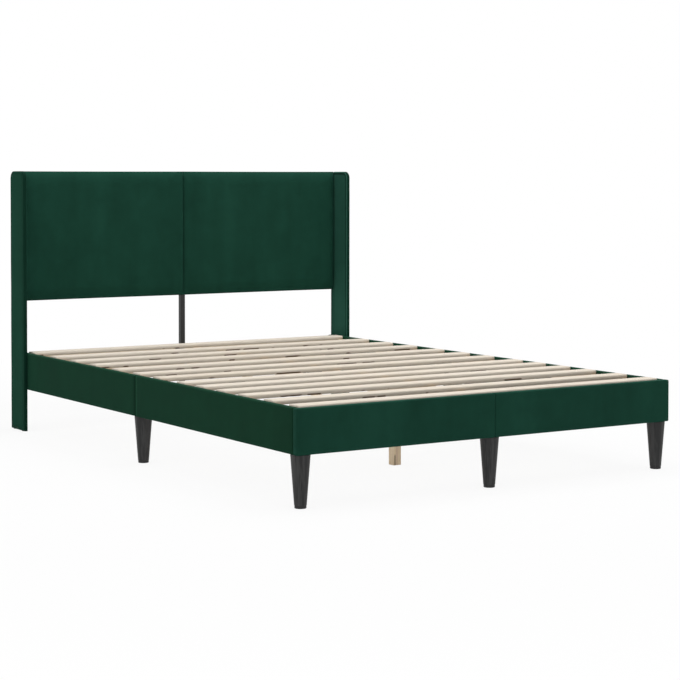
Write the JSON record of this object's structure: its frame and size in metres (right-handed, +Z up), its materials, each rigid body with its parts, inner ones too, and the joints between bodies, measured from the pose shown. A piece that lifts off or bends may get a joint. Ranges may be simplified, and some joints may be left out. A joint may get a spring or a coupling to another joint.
{
  "type": "bed frame",
  "caption": "Upholstered double bed frame in dark green velvet with a winged headboard, wooden slats and tapered dark legs.",
  "frame": {"origin": "on the floor under the middle of the bed's outline", "axes": "+Y along the bed from the foot to the headboard, +Z up, +X to the right as seen from the foot"},
  "size_m": [1.468, 2.075, 0.985],
  "materials": {
    "velvet": "dark green velvet with a short pile",
    "lining_cloth": "thin black nonwoven cloth",
    "plywood_board": "raw plywood",
    "pine": "planed pine",
    "pine_leg": "planed pine",
    "slat_wood": "pale sanded plywood",
    "dark_leg": "dark grey satin",
    "post_paint": "dark grey powder coat",
    "glide_plastic": "black moulded plastic",
    "bracket_paint": "black powder coat",
    "zinc_steel": "zinc plated"
  },
  "bodies": {
    "root": {"beam_hangers": "bracket_paint", "beam_joint_plates": "bracket_paint", "centre_beam_foot": "pine", "centre_beam_head": "pine", "centre_leg_foot": "pine_leg", "centre_leg_head": "pine_leg", "centre_leg_middle": "pine_leg", "centre_post": "post_paint", "corner_bracket_left": "bracket_paint", "corner_bracket_right": "bracket_paint", "foot_joint_bracket": "bracket_paint", "foot_rail_boards": "plywood_board", "foot_rail_cover_left": "velvet", "foot_rail_cover_right": "velvet", "frame_bolts": "zinc_steel", "head_rail": "pine", "headboard_board_left": "plywood_board", "headboard_board_right": "plywood_board", "headboard_linings": "lining_cloth", "headboard_pad_left": "velvet", "headboard_pad_right": "velvet", "insert_nuts": "zinc_steel", "leg_foot_left": "dark_leg", "leg_foot_middle": "dark_leg", "leg_foot_right": "dark_leg", "leg_glides": "glide_plastic", "leg_side_left": "dark_leg", "leg_side_right": "dark_leg", "leg_studs": "zinc_steel", "nail_glides": "glide_plastic", "post_plugs": "glide_plastic", "rail_joint_bracket_left": "bracket_paint", "rail_joint_bracket_right": "bracket_paint", "side_rail_boards_left": "plywood_board", "side_rail_boards_right": "plywood_board", "side_rail_cover_left_foot": "velvet", "side_rail_cover_left_head": "velvet", "side_rail_cover_right_foot": "velvet", "side_rail_cover_right_head": "velvet", "slat_01": "slat_wood", "slat_02": "slat_wood", "slat_03": "slat_wood", "slat_04": "slat_wood", "slat_05": "slat_wood", "slat_06": "slat_wood", "slat_07": "slat_wood", "slat_08": "slat_wood", "slat_09": "slat_wood", "slat_10": "slat_wood", "slat_11": "slat_wood", "slat_12": "slat_wood", "slat_13": "slat_wood", "slat_ledge_left": "pine", "slat_ledge_right": "pine", "steel_angles": "bracket_paint", "wing_board_left": "plywood_board", "wing_board_right": "plywood_board", "wing_cover_left": "velvet", "wing_cover_right": "velvet", "wood_screws": "zinc_steel"}
  },
  "joints": []
}
